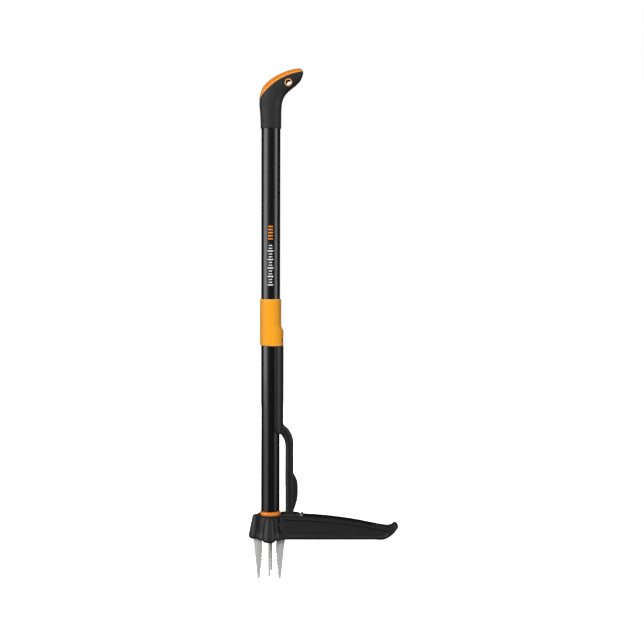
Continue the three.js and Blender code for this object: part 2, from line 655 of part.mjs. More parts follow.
// ---------------------------------------------------------------- assembly
const bushLower = SLEEVE.bottom + 0.6;
const bushUpper = SLEEVE.top - BUSH.height - 0.6;
const PIECES = {
  pedal_housing: [pedalHousing, 'moulded'],
  tread_pad: [treadPad, 'rubber'],
  base_plate: [basePlate, 'moulded'],
  base_screw_1: [() => baseScrew(0), 'zinc'],
  base_screw_2: [() => baseScrew(1), 'zinc'],
  base_screw_3: [() => baseScrew(2), 'zinc'],
  base_screw_4: [() => baseScrew(3), 'zinc'],
  tilt_hinge_pin: [hingePin, 'steel'],
  guide_pin: [guidePin, 'steel'],
  claw_pin_left: [() => sideClawPin(-1), 'zinc'],
  claw_pin_right: [() => sideClawPin(1), 'zinc'],
  claw_pin_front: [() => crossClawPin(-1), 'zinc'],
  claw_pin_back: [() => crossClawPin(1), 'zinc'],
  claw_right: [() => claw(0, SIDE_CLAW_TIP, -SIDE_BLADE_SHIFT), 'steel'],
  claw_back: [() => claw(1, CROSS_CLAW_TIP), 'steel'],
  claw_left: [() => claw(2, SIDE_CLAW_TIP, SIDE_BLADE_SHIFT), 'steel'],
  claw_front: [() => claw(3, CROSS_CLAW_TIP), 'steel'],
  lift_spider: [liftSpider, 'acetal'],
  lift_pin: [liftPin, 'zinc'],
  shaft_tube: [shaftTube, 'anodised'],
  shaft_foot: [shaftFoot, 'moulded'],
  shaft_collar: [shaftCollar, 'orange'],
  foot_rivet: [footRivet, 'zinc'],
  handle_core: [handleCore, 'moulded'],
  handle_grip: [handleGrip, 'rubber'],
  handle_cap: [handleCap, 'orange'],
  hanging_eyelet: [hangingEyelet, 'orange'],
  grip_screw: [gripScrew, 'zinc'],
  eject_sleeve: [ejectSleeve, 'amber'],
  glide_bush_lower: [() => glideBush(bushLower, true), 'acetal'],
  glide_bush_upper: [() => glideBush(bushUpper, false), 'acetal'],
  ejector_arm: [ejectorArm, 'moulded'],
  arm_screw: [armScrew, 'zinc'],
  ejector_fork: [ejectorFork, 'moulded'],
  fork_pin: [forkPin, 'zinc'],
};

const weeder = new THREE.Group();
for (const [name, [make, finish]] of Object.entries(PIECES)) {
  const mesh = new THREE.Mesh(geometryOf(make()), new THREE.MeshStandardMaterial(COLOURS[finish]));
  mesh.name = name;
  weeder.add(mesh);
}

export default weeder;
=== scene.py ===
import math

import bmesh
import bpy
from mathutils import Matrix, Vector

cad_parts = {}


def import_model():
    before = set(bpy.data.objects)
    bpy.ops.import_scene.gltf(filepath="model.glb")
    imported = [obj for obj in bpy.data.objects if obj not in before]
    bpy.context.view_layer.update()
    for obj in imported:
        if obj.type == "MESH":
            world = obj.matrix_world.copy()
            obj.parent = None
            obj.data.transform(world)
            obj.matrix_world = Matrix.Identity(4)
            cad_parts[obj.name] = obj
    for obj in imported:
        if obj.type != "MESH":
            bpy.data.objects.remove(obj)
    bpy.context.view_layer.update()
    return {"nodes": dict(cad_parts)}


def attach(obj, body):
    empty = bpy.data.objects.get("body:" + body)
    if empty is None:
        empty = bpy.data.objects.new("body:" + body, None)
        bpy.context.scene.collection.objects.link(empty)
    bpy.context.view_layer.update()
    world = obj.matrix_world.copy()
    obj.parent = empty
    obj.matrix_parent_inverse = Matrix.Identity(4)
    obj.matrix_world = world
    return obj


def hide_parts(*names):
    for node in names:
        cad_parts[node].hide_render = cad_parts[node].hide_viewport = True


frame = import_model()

# Lengths are in millimetres until a mesh is made, and metres from then on.
MM = 0.001
FAR = 400.0

# Driving dimensions, the same as the CAD's. +Z up the shaft, +X to the pedal's tip, -Y to the front.
TUBE_R = 19.0
TUBE_BORE = 17.5
TUBE_BOTTOM = 53.0
TUBE_TOP = 850.0
COLLAR_R = 21.7
COLLAR_BOTTOM = 43.9
COLLAR_TOP = 52.7
GRIP_BOTTOM = 827.0
GRIP_BORE = 19.25
EYELET_X = 36.0
EYELET_Z = 916.6
EYELET_OUTER = 8.5
EYELET_INNER = 5.15
SLEEVE_R = 21.3
SLEEVE_BORE = 19.5
SLEEVE_BOTTOM = 392.2
SLEEVE_TOP = 486.7
SCREW_Z = 403.2
ARM_INNER = 30.6
ARM_OUTER = 47.0
ARM_HALF = 7.0
ARM_BOTTOM = 10.3
HEAD_HIGH_R = 24.6
HEAD_LOW_R = 26.6
HEAD_BOTTOM = -4.3
PEDAL_BOTTOM = -2.2
LOBE_R = 13.9
RIM_TOP = 48.6
POCKET_LEFT = 24.5
POCKET_RIGHT = 58.5
POCKET_HALF = 9.5
RIM_WIDTH = 3.0
PEDAL_START = 22.0
PEDAL_HEAD_HALF = 22.0
PEDAL_TIP_HALF = 17.0
PIVOT_R = 22.8
PIVOT_Z = 12.0
FLOOR_Z = -89.4


# ---------------------------------------------------------------- outlines
def smooth_line(points, steps=8):
    """Points along a smooth curve that passes through the given ones in order."""
    ends = [points[0], *points, points[-1]]
    line = []
    for i in range(len(points) - 1):
        p0, p1, p2, p3 = (Vector(p) for p in ends[i:i + 4])
        for k in range(steps):
            t = k / steps
            near = 2 * p1 + (p2 - p0) * t
            bend = (2 * p0 - 5 * p1 + 4 * p2 - p3) * t * t
            turn = (3 * p1 - p0 - 3 * p2 + p3) * t ** 3
            line.append(tuple(0.5 * (near + bend + turn)))
    line.append(tuple(points[-1]))
    return line


def arc(cx, cy, r, start, end, steps=12):
    """Points on a circle from one angle to another, in degrees."""
    angles = [math.radians(start + (end - start) * i / steps) for i in range(steps + 1)]
    return [(cx + r * math.cos(a), cy + r * math.sin(a)) for a in angles]


def eased(outline, radius, steps=4, closed=True):
    """The outline with each corner rounded to about the radius."""
    made = []
    count = len(outline)
    for i, corner in enumerate(outline):
        if not closed and i in (0, count - 1):
            made.append(tuple(corner))
            continue
        here = Vector(corner)
        before = Vector(outline[i - 1]) - here
        after = Vector(outline[(i + 1) % count]) - here
        reach = min(radius, before.length * 0.48, after.length * 0.48)
        start = here + before.normalized() * reach
        end = here + after.normalized() * reach
        for k in range(steps + 1):
            t = k / steps
            made.append(tuple(start * (1 - t) ** 2 + here * 2 * t * (1 - t) + end * t * t))
    return made


# ---------------------------------------------------------------- mesh helpers
def piece_from(name, vertices, faces):
    """A piece from corners in millimetres, with doubled corners merged and faces turned outwards."""
    mesh = bpy.data.meshes.new(name)
    mesh.from_pydata([tuple(c * MM for c in v) for v in vertices], [], faces)
    work = bmesh.new()
    work.from_mesh(mesh)
    bmesh.ops.remove_doubles(work, verts=work.verts, dist=1e-7)
    bmesh.ops.recalc_face_normals(work, faces=work.faces)
    work.to_mesh(mesh)
    work.free()
    piece = bpy.data.objects.new(name, mesh)
    bpy.context.scene.collection.objects.link(piece)
    return piece


AXIS_ORDER = {
    "X": lambda a, b, t: (t, a, b),
    "Y": lambda a, b, t: (a, t, b),
    "Z": lambda a, b, t: (a, b, t),
}


def prism(name, outline, low, high, axis="Y"):
    """A closed outline drawn out along an axis; its two numbers are the other axes, in order."""
    place = AXIS_ORDER[axis]
    count = len(outline)
    vertices = [place(a, b, low) for a, b in outline] + [place(a, b, high) for a, b in outline]
    sides = [(i, (i + 1) % count, count + (i + 1) % count, count + i) for i in range(count)]
    caps = [tuple(range(count)), tuple(range(count, 2 * count))]
    return piece_from(name, vertices, sides + caps)


def block(name, x0, x1, y0, y1, z0, z1):
    """A tool with flat sides, for slots and grooves."""
    return prism(name, [(x0, z0), (x1, z0), (x1, z1), (x0, z1)], y0, y1)


def stacked(name, rings):
    """A closed body through rings of equally many points, with its first and last ring filled."""
    count = len(rings[0])
    vertices = [p for ring in rings for p in ring]
    faces = [tuple(range(count)), tuple(range((len(rings) - 1) * count, len(rings) * count))]
    for k in range(len(rings) - 1):
        a, b = k * count, (k + 1) * count
        faces += [(a + i, a + (i + 1) % count, b + (i + 1) % count, b + i) for i in range(count)]
    return piece_from(name, vertices, faces)


def turned(name, profile, segments=96, axis="Z", at=(0.0, 0.0)):
    """A lathe piece about an axis, from a closed profile of (radius, height) pairs."""
    place = AXIS_ORDER[axis]
    vertices = []
    for r, h in profile:
        for k in range(segments):
            t = 2 * math.pi * k / segments
            vertices.append(place(at[0] + r * math.cos(t), at[1] + r * math.sin(t), h))
    faces = []
    count = len(profile)
    for i in range(count):
        j = (i + 1) % count
        if profile[i][0] < 1e-6 and profile[j][0] < 1e-6:
            continue
        for k in range(segments):
            m = (k + 1) % segments
            ring = [i * segments + k, i * segments + m, j * segments + m, j * segments + k]
            if profile[i][0] < 1e-6:
                ring = [i * segments, j * segments + m, j * segments + k]
            elif profile[j][0] < 1e-6:
                ring = [i * segments + k, i * segments + m, j * segments]
            faces.append(tuple(ring))
    return piece_from(name, vertices, faces)


def rod(name, r, low, high, axis="Z", at=(0.0, 0.0), segments=48):
    return turned(name, [(0, low), (r, low), (r, high), (0, high)], segments, axis, at)


def apply_modifiers(piece):
    """Makes the result of the piece's modifiers its mesh, and clears them."""
    graph = bpy.context.evaluated_depsgraph_get()
    made = bpy.data.meshes.new_from_object(piece.evaluated_get(graph))
    piece.modifiers.clear()
    piece.data = made


def combine(piece, kind, others):
    """Cuts away, joins or keeps what is common with the other bodies, and removes those."""
    for other in others:
        step = piece.modifiers.new("combine", "BOOLEAN")
        step.operation = kind
        step.solver = "MANIFOLD"
        step.object = other
    apply_modifiers(piece)
    for other in others:
        bpy.data.objects.remove(other)
    return piece


def cut(piece, *tools):
    return combine(piece, "DIFFERENCE", tools)


def fused(piece, *others):
    return combine(piece, "UNION", others)


def common(piece, *others):
    return combine(piece, "INTERSECT", others)


def melted(piece, voxel, rounds, swell=0.0):
    """One skin of small even faces over the piece, with its edges and inner corners softened.

    The swell moves the skin outwards, to make up for what the softening takes off."""
    skin = piece.modifiers.new("skin", "REMESH")
    skin.mode = "VOXEL"
    skin.voxel_size = voxel * MM
    soft = piece.modifiers.new("soft", "SMOOTH")
    soft.factor = 0.5
    soft.iterations = rounds
    if swell:
        puff = piece.modifiers.new("puff", "DISPLACE")
        puff.strength = swell * MM
        puff.mid_level = 0
    apply_modifiers(piece)
    return piece


def bevelled(piece, width, segments=3, angle=35):
    """Rounds the edges that turn by more than the angle."""
    step = piece.modifiers.new("bevel", "BEVEL")
    step.width = width * MM
    step.segments = segments
    step.limit_method = "ANGLE"
    step.angle_limit = math.radians(angle)
    step.use_clamp_overlap = True
    apply_modifiers(piece)
    return piece


def quarter_turned(piece, turns):
    piece.data.transform(Matrix.Rotation(math.radians(90 * turns), 4, "Z"))
    return piece


def mirrored(piece, name):
    """A second piece, mirrored from front to back."""
    twin = bpy.data.objects.new(name, piece.data.copy())
    bpy.context.scene.collection.objects.link(twin)
    twin.data.transform(Matrix.Scale(-1, 4, (0, 1, 0)))
    twin.data.flip_normals()
    return twin


def placed(piece, nodes, body, material, sharp=None):
    """Shades the piece, gives it its finish, and lets it stand for its CAD nodes."""
    piece.data.shade_smooth()
    if sharp is not None:
        piece.data.set_sharp_from_angle(angle=math.radians(sharp))
    piece.data.materials.clear()
    piece.data.materials.append(material)
    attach(piece, body)
    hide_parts(*nodes)
    return piece


# ---------------------------------------------------------------- material nodes
class Finish:
    """A material under construction: its node tree, its shader and short ways to add nodes."""

    def __init__(self, name, colour, roughness, metallic=0.0):
        self.material = bpy.data.materials.new(name)
        self.material.use_nodes = True
        self.tree = self.material.node_tree
        self.shader = self.tree.nodes["Principled BSDF"]
        self.shader.inputs["Base Color"].default_value = (*colour, 1)
        self.shader.inputs["Roughness"].default_value = roughness
        self.shader.inputs["Metallic"].default_value = metallic
        self.place = self.tree.nodes.new("ShaderNodeTexCoord").outputs["Object"]

    def link(self, output, target):
        self.tree.links.new(output, target)

    def stretched(self, x, y, z):
        """The place on the piece, scaled differently along each axis."""
        node = self.tree.nodes.new("ShaderNodeMapping")
        node.inputs["Scale"].default_value = (x, y, z)
        self.link(self.place, node.inputs["Vector"])
        return node.outputs["Vector"]

    def noise(self, size, detail=3.0, place=None):
        """Soft noise whose features are about this many millimetres across."""
        node = self.tree.nodes.new("ShaderNodeTexNoise")
        node.inputs["Scale"].default_value = 1 / (size * MM)
        node.inputs["Detail"].default_value = detail
        self.link(place or self.place, node.inputs["Vector"])
        return node.outputs["Fac"]

    def grains(self, size):
        """Small cells, as on a spark-eroded mould face."""
        node = self.tree.nodes.new("ShaderNodeTexVoronoi")
        node.inputs["Scale"].default_value = 1 / (size * MM)
        self.link(self.place, node.inputs["Vector"])
        return node.outputs["Distance"]

    def edges(self):
        """1 on sharp outer edges and 0 on flats and hollows."""
        node = self.tree.nodes.new("ShaderNodeNewGeometry")
        return self.between(node.outputs["Pointiness"], 0.52, 0.6, 0.0, 1.0)

    def between(self, value, low, high, new_low, new_high):
        node = self.tree.nodes.new("ShaderNodeMapRange")
        node.inputs["From Min"].default_value = low
        node.inputs["From Max"].default_value = high
        node.inputs["To Min"].default_value = new_low
        node.inputs["To Max"].default_value = new_high
        self.link(value, node.inputs["Value"])
        return node.outputs["Result"]

    def mixed(self, factor, first, second):
        """A colour between two, each given as three numbers or as a node's output."""
        node = self.tree.nodes.new("ShaderNodeMix")
        node.data_type = "RGBA"
        self.link(factor, node.inputs["Factor"])
        for name, colour in (("A", first), ("B", second)):
            socket = next(s for s in node.inputs if s.name == name and s.type == "RGBA")
            if isinstance(colour, tuple):
                socket.default_value = (*colour, 1)
            else:
                self.link(colour, socket)
        return next(s for s in node.outputs if s.type == "RGBA")

    def maths(self, kind, first, second=None):
        node = self.tree.nodes.new("ShaderNodeMath")
        node.operation = kind
        for socket, value in zip(node.inputs, (first, second)):
            if value is None:
                continue
            if isinstance(value, (int, float)):
                socket.default_value = value
            else:
                self.link(value, socket)
        return node.outputs[0]

    def colour(self, output):
        self.link(output, self.shader.inputs["Base Color"])

    def roughness(self, output):
        self.link(output, self.shader.inputs["Roughness"])

    def specular(self, level):
        self.shader.inputs["Specular IOR Level"].default_value = level

    def glow_inside(self):
        """The faint warm light that scatters inside an orange plastic."""
        self.shader.inputs["Subsurface Weight"].default_value = 0.06
        self.shader.inputs["Subsurface Radius"].default_value = (1.0, 0.35, 0.1)
        self.shader.inputs["Subsurface Scale"].default_value = 1.5 * MM

    def bump(self, height, strength, distance, under=None):
        node = self.tree.nodes.new("ShaderNodeBump")
        node.inputs["Strength"].default_value = strength
        node.inputs["Distance"].default_value = distance * MM
        self.link(height, node.inputs["Height"])
        if under is not None:
            self.link(under, node.inputs["Normal"])
        self.link(node.outputs["Normal"], self.shader.inputs["Normal"])
        return node.outputs["Normal"]


def moulded_black(name, shade, roughness, grain=0.35):
    """Glass-filled nylon: fine spark-eroded grain, faint clouding, edges rubbed a little paler."""
    f = Finish(name, (shade, shade, shade), roughness)
    cloud = f.noise(28, 4)
    base = f.mixed(cloud, (shade * 0.86, shade * 0.86, shade * 0.88),
                   (shade * 1.14, shade * 1.14, shade * 1.13))
    worn = f.maths("MULTIPLY", f.edges(), f.noise(6, 5))
    f.colour(f.mixed(worn, base, (shade * 2.1, shade * 2.1, shade * 2.1)))
    f.roughness(f.between(f.noise(9, 5), 0.3, 0.7, roughness - 0.07, roughness + 0.07))
    under = f.bump(f.noise(1.4, 3), 0.12, 0.1)
    f.bump(f.grains(grain), 0.22, 0.06, under)
    f.specular(0.33)
    return f.material


def rubber_black(name, shade, roughness, gloss=0.4):
    """Soft-touch elastomer: matt, with a very fine grain and slightly polished patches."""
    f = Finish(name, (shade, shade, shade), roughness)
    cloud = f.noise(18, 3)
    f.colour(f.mixed(cloud, (shade * 0.88, shade * 0.88, shade * 0.9),
                     (shade * 1.12, shade * 1.12, shade * 1.12)))
    f.roughness(f.between(f.noise(14, 4), 0.35, 0.65, roughness - 0.08, roughness + 0.06))
    f.bump(f.grains(0.28), 0.18, 0.05)
    f.specular(gloss)
    return f.material


def moulded_orange(name, deep, bright, roughness=0.38):
    """Satin acetal or nylon in a strong colour, a little brighter where it is thin or worn."""
    f = Finish(name, bright, roughness)
    base = f.mixed(f.noise(16, 4), deep, bright)
    pale = tuple(min(1.0, c * 1.25 + 0.05) for c in bright)
    worn = f.maths("MULTIPLY", f.edges(), 0.6)
    f.colour(f.mixed(worn, base, pale))
    f.roughness(f.between(f.noise(5, 5), 0.3, 0.7, roughness - 0.06, roughness + 0.08))
    f.bump(f.noise(0.5, 4), 0.1, 0.05)
    f.glow_inside()
    return f.material


def cap_orange():
    """The cap's orange, with a painted highlight that makes it paler in a band along its lower edge."""
    deep, bright, pale = (0.76, 0.21, 0.009), (0.82, 0.235, 0.011), (0.80, 0.33, 0.07)
    f = Finish("cap_orange", bright, 0.5)
    # Painted highlight: a paler orange is mixed in along the band stored on the cap's vertices.
    near = f.tree.nodes.new("ShaderNodeAttribute")
    near.attribute_name = "painted_highlight_band"
    base = f.mixed(f.noise(16, 4), deep, bright)
    f.colour(f.mixed(near.outputs["Fac"], base, pale))
    f.roughness(f.between(f.noise(5, 5), 0.3, 0.7, 0.44, 0.58))
    f.bump(f.noise(0.5, 4), 0.1, 0.05)
    f.specular(0.18)
    f.glow_inside()
    return f.material


def eyelet_orange():
    """The eyelet's pale lip, with painted shade in its bore and on its rim."""
    f = Finish("eyelet_orange", (0.86, 0.46, 0.20), 0.45)
    # Painted shade: where the stored mark is 1 in the bore and 0.9 on the rim, the colour goes towards
    # a near-black brown.
    bore = f.tree.nodes.new("ShaderNodeAttribute")
    bore.attribute_name = "bore"
    lip = f.mixed(f.noise(12, 4), (0.80, 0.40, 0.17), (0.90, 0.50, 0.24))
    f.colour(f.mixed(bore.outputs["Fac"], lip, (0.10, 0.018, 0.002)))
    f.roughness(f.between(f.noise(5, 5), 0.3, 0.7, 0.4, 0.55))
    f.bump(f.noise(0.5, 4), 0.1, 0.05)
    f.specular(0.25)
    return f.material


def sleeve_amber():
    """The sleeve's amber, with a painted highlight that makes it paler on the chamfers at its two ends.
    """
    deep, bright, pale = (0.82, 0.32, 0.009), (0.90, 0.375, 0.013), (0.90, 0.44, 0.09)
    f = Finish("sleeve_amber", bright, 0.55)
    split = f.tree.nodes.new("ShaderNodeSeparateXYZ")
    f.link(f.place, split.inputs[0])
    middle = (SLEEVE_BOTTOM + SLEEVE_TOP) / 2 * MM
    half = (SLEEVE_TOP - SLEEVE_BOTTOM) / 2 * MM
    away = f.maths("ABSOLUTE", f.maths("SUBTRACT", split.outputs["Z"], middle))
    # Painted highlight: paler amber within the last 1.2 mm of each end, fading out by 2.4 mm.
    end = f.between(away, half - 2.4 * MM, half - 1.2 * MM, 0.0, 1.0)
    base = f.mixed(f.noise(20, 4), deep, bright)
    f.colour(f.mixed(end, base, pale))
    f.roughness(f.between(f.noise(5, 5), 0.3, 0.7, 0.5, 0.62))
    f.bump(f.noise(0.5, 4), 0.1, 0.05)
    f.specular(0.2)
    f.glow_inside()
    return f.material


def tube_black():
    """Satin black coating with faint lengthwise drawing marks and a plain printed scale."""
    shade = 0.006
    f = Finish("tube_black", (shade, shade, shade), 0.25)
    split = f.tree.nodes.new("ShaderNodeSeparateXYZ")
    f.link(f.place, split.inputs[0])
    x, y, z = split.outputs["X"], split.outputs["Y"], split.outputs["Z"]
    front = f.maths("LESS_THAN", y, 0.0)
    off_middle = f.maths("ABSOLUTE", f.maths("SUBTRACT", x, 1.4 * MM))

    def bars(bottom, top, pitch, share, half):
        """Bars across the tube's front between two heights."""
        phase = f.maths("FRACT", f.maths("DIVIDE", f.maths("SUBTRACT", z, bottom * MM), pitch * MM))
        bar = f.maths("LESS_THAN", phase, share)
        over = f.maths("GREATER_THAN", z, bottom * MM)
        under = f.maths("LESS_THAN", z, top * MM)
        wide = f.maths("MULTIPLY", front, f.maths("LESS_THAN", off_middle, half * MM))
        return f.maths("MULTIPLY", wide, f.maths("MULTIPLY", bar, f.maths("MULTIPLY", over, under)))

    base = f.mixed(f.noise(30, 3), (shade * 0.9, shade * 0.9, shade * 0.95),
                   (shade * 1.15, shade * 1.15, shade * 1.15))
    white = f.maths("MAXIMUM", bars(514, 599, 17.0, 0.14, 5.4), bars(514, 599, 5.66, 0.34, 3.4))
    with_white = f.mixed(white, base, (0.72, 0.72, 0.72))
    f.colour(f.mixed(bars(606, 636, 6.2, 0.42, 4.6), with_white, (0.75, 0.24, 0.02)))
    drawn = f.noise(1.0, 3, f.stretched(1.0, 1.0, 0.01))
    f.roughness(f.between(drawn, 0.3, 0.7, 0.22, 0.29))
    under = f.bump(drawn, 0.03, 0.05)
    f.bump(f.noise(0.4, 2), 0.04, 0.02, under)
    f.specular(0.62)
    return f.material


def brushed_steel(name, colour, roughness, metallic, grain=(1.0, 1.0, 0.03)):
    """Stainless or plated steel with fine brush lines and faint smudges."""
    f = Finish(name, colour, roughness, metallic)
    lines = f.noise(0.5, 4, f.stretched(*grain))
    smudge = f.noise(11, 4)
    dark = tuple(c * 0.84 for c in colour)
    f.colour(f.mixed(f.between(lines, 0.3, 0.7, 0.0, 1.0), dark, colour))
    f.roughness(f.between(smudge, 0.3, 0.7, roughness - 0.08, roughness + 0.08))
    f.bump(lines, 0.12, 0.03)
    return f.material


def acetal_white():
    """Plain unfilled acetal for the liners and the lift cross."""
    f = Finish("acetal_white", (0.72, 0.71, 0.66), 0.45)
    f.colour(f.mixed(f.noise(6, 3), (0.66, 0.65, 0.6), (0.78, 0.77, 0.72)))
    f.roughness(f.between(f.noise(3, 3), 0.3, 0.7, 0.38, 0.52))
    f.bump(f.noise(0.3, 2), 0.08, 0.03)
    f.shader.inputs["Subsurface Weight"].default_value = 0.1
    f.shader.inputs["Subsurface Scale"].default_value = 1.0 * MM
    return f.material


MOULDED = moulded_black("moulded_black", 0.0165, 0.46)
ARM_BLACK = moulded_black("arm_black", 0.014, 0.4, 0.3)
GRIP_BLACK = rubber_black("grip_black", 0.0185, 0.55, 0.2)
TREAD_BLACK = rubber_black("tread_black", 0.003, 0.9, 0.15)
CAP_ORANGE = cap_orange()
RING_ORANGE = moulded_orange("ring_orange", (0.72, 0.17, 0.010), (0.82, 0.22, 0.014))
EYELET_ORANGE = eyelet_orange()
AMBER = sleeve_amber()
TUBE_BLACK = tube_black()
STAINLESS = brushed_steel("stainless", (0.66, 0.66, 0.63), 0.42, 0.2)
ZINC = brushed_steel("zinc", (0.42, 0.43, 0.44), 0.38, 0.8, (1.0, 0.05, 1.0))
# Painted shade: the sleeve screw's dark brown stands in for the shadow in the well it sits in.
DARK_SCREW = brushed_steel("dark_screw", (0.05, 0.032, 0.024), 0.5, 0.4, (1.0, 0.05, 1.0))
ACETAL = acetal_white()


# ---------------------------------------------------------------- shaft
def shaft_tube():
    """The long tube, with the hole of the rivet that holds its foot."""
    wall = eased([(TUBE_BORE, TUBE_BOTTOM), (TUBE_R, TUBE_BOTTOM), (TUBE_R, TUBE_TOP),
                  (TUBE_BORE, TUBE_TOP)], 0.5, 3)
    tube = turned("weeder_tube", wall, 144)
    cut(tube, rod("rivet_hole", 3.3, 0, 40, "Y", (0, 84)))
    return placed(tube, ["shaft_tube"], "shaft", TUBE_BLACK, 40)


def shaft_collar():
    """The bowl-shaped orange ring at the tube's foot."""
    inner = TUBE_BORE
    bead = smooth_line([(18.2, COLLAR_BOTTOM), (20.3, 44.6), (21.4, 46.0), (COLLAR_R, 47.8),
                        (21.4, 49.6), (20.5, 51.2), (19.3, 52.1), (18.6, COLLAR_TOP)], 6)
    ring = turned("collar_ring", [(inner, COLLAR_BOTTOM), *bead, (inner, COLLAR_TOP)], 144)
    return placed(ring, ["shaft_collar"], "shaft", RING_ORANGE, 40)


# ---------------------------------------------------------------- handle
GRIP_BACK = [
    (-20.6, 827), (-21, 843), (-21.8, 858), (-23, 871), (-23.2, 881), (-21.2, 894), (-15, 909.3),
    (-3, 921.8), (11.1, 930.8), (27, 938.2), (42, 942.8), (52.3, 944.8), (58, 944.9), (61.4, 943.3),
]
GRIP_FRONT = [
    (20.6, 827), (20.7, 843), (20.8, 857), (21.4, 869), (22.6, 878.5), (25, 886), (29.3, 893.5),
    (35.8, 900.3), (43.8, 906.8), (51.6, 913.2), (58.6, 920.8), (62.6, 929.5), (64.4, 936.4),
    (64.3, 939.6),
]
GRIP_HALF = [20.6, 20.6, 20.4, 20.1, 19.6, 19, 18.2, 17.6, 17.1, 16.4, 15.2, 12.4, 7.5, 3]
CAP_LINE = [(-28, 871.5), (-20.2, 886), (-10.7, 899), (13.7, 919.6), (40, 932.2), (72, 940.4)]


def grip_form(name, swell=0.0):
    """The hook through smooth elliptical sections; swell lets it stand out all round."""
    rows = [(*b, *f, h) for b, f, h in zip(GRIP_BACK, GRIP_FRONT, GRIP_HALF)]
    rings = []
    for bx, bz, fx, fz, half in smooth_line(rows, 7):
        across = Vector((fx - bx, fz - bz))
        out = across.normalized() * swell
        ring = []
        for k in range(72):
            t = 2 * math.pi * k / 72
            mix = 0.5 + 0.5 * math.cos(t)
            ring.append((bx - out.x + (across.x + 2 * out.x) * mix, (half + swell) * math.sin(t),
                         bz - out.y + (across.y + 2 * out.y) * mix))
        rings.append(ring)
    return stacked(name, rings)


def cap_region(name, lift):
    """Everything above the cap's lower edge, moved up by the lift."""
    edge = [(x - lift * 0.55, z + lift * 0.83) for x, z in smooth_line(CAP_LINE, 8)]
    return prism(name, [*edge, (72, 990), (-60, 990), (-60, 871.5 + lift)], -FAR, FAR)


def seam_groove(name):
    """A shallow groove all round the hook, on the line where the cap meets the grip."""
    shell = grip_form(name, 2.5)
    cut(shell, grip_form("seam_core", -1.3), cap_region("seam_top", 0.8))
    return common(shell, cap_region("seam_low", -0.8))


def handle_grip():
    """The black hook, open below for the tube."""
    grip = grip_form("grip_hook")
    cut(grip, cap_region("cap_room", 0.0), seam_groove("grip_seam"),
        rod("tube_room", GRIP_BORE, GRIP_BOTTOM - 20, TUBE_TOP + 0.3, segments=96),
        rod("eyelet_room", EYELET_OUTER + 0.35, -60, 60, "Y", (EYELET_X, EYELET_Z)))
    melted(grip, 0.62, 3)
    return placed(grip, ["handle_grip"], "shaft", GRIP_BLACK)


def mark_painted_highlight(piece, line, width):
    """Stores on each vertex how near it is to a line seen from the side: 1 at it, 0 from the width; the
    cap's painted highlight goes there.
    """
    points = [Vector(p) * MM for p in line]
    band = piece.data.attributes.new("painted_highlight_band", "FLOAT", "POINT")
    for vertex, mark in zip(piece.data.vertices, band.data):
        here = Vector((vertex.co.x, vertex.co.z))
        away = min((here - p).length for p in points) / (width * MM)
        mark.value = max(0.0, min(1.0, (1 - away) * 4))


def handle_cap():
    """The orange cap along the hook's back."""
    cap = grip_form("grip_cap", 0.4)
    common(cap, cap_region("cap_share", 0.15))
    cut(cap, seam_groove("cap_seam"),
        rod("eyelet_room", EYELET_OUTER + 0.4, -60, 60, "Y", (EYELET_X, EYELET_Z)))
    melted(cap, 0.5, 4, 0.15)
    # Marks the band along the cap's lower edge where its painted highlight goes.
    mark_painted_highlight(cap, smooth_line(CAP_LINE, 20), 3.6)
    return placed(cap, ["handle_cap"], "shaft", CAP_ORANGE)


def hanging_eyelet():
    """The ring through the hook's end, with a rolled lip on both sides."""
    half = 16.7
    lip = smooth_line([(EYELET_INNER, half - 2.4), (EYELET_INNER + 0.3, half - 0.8),
                       (EYELET_INNER + 1.2, half), (EYELET_OUTER - 1.6, half - 0.3),
                       (EYELET_OUTER - 1.0, half - 1.2)], 4)
    step = [(EYELET_OUTER - 1.0, half - 2.6), (EYELET_OUTER, half - 2.9)]
    profile = [*lip, *step, *[(r, -h) for r, h in reversed([*lip, *step])]]
    ring = turned("eyelet_ring", profile, 72, "Y", (EYELET_X, EYELET_Z))
    # Marks where the eyelet's finish paints shade: 1 in the bore, 0.9 on the outer rim, 0 on the lip.
    bore = ring.data.attributes.new("bore", "FLOAT", "POINT")
    for vertex, mark in zip(ring.data.vertices, bore.data):
        away = math.hypot(vertex.co.x - EYELET_X * MM, vertex.co.z - EYELET_Z * MM)
        in_bore = away < (EYELET_INNER + 0.2) * MM
        on_rim = away > (EYELET_OUTER - 1.3) * MM
        mark.value = 1.0 if in_bore else 0.9 if on_rim else 0.0
    return placed(ring, ["hanging_eyelet"], "shaft", EYELET_ORANGE, 50)


# ---------------------------------------------------------------- sleeve and arm
def swell_form(name, bottom, top, centre, r, fade):
    """An upright round body whose upper end leans back to the shaft's axis over the fade."""
    rings = []
    heights = [bottom + (top - bottom) * i / 60 for i in range(61)]
    for z in heights:
        t = max(0.0, min(1.0, (top - z) / fade))
        shift = centre * t * t * (3 - 2 * t)
        rings.append([(shift + r * math.cos(a), r * math.sin(a), z)
                      for a in (2 * math.pi * k / 96 for k in range(96))])
    return stacked(name, rings)


def screw_well():
    """The oval recess in the sleeve's swelling, in which the screw's head sits."""
    oval = [(8.6 * math.cos(a), SCREW_Z + 5.7 * math.sin(a))
            for a in (2 * math.pi * k / 48 for k in range(48))]
    return prism("screw_well", oval, 23.5, 60, "X")


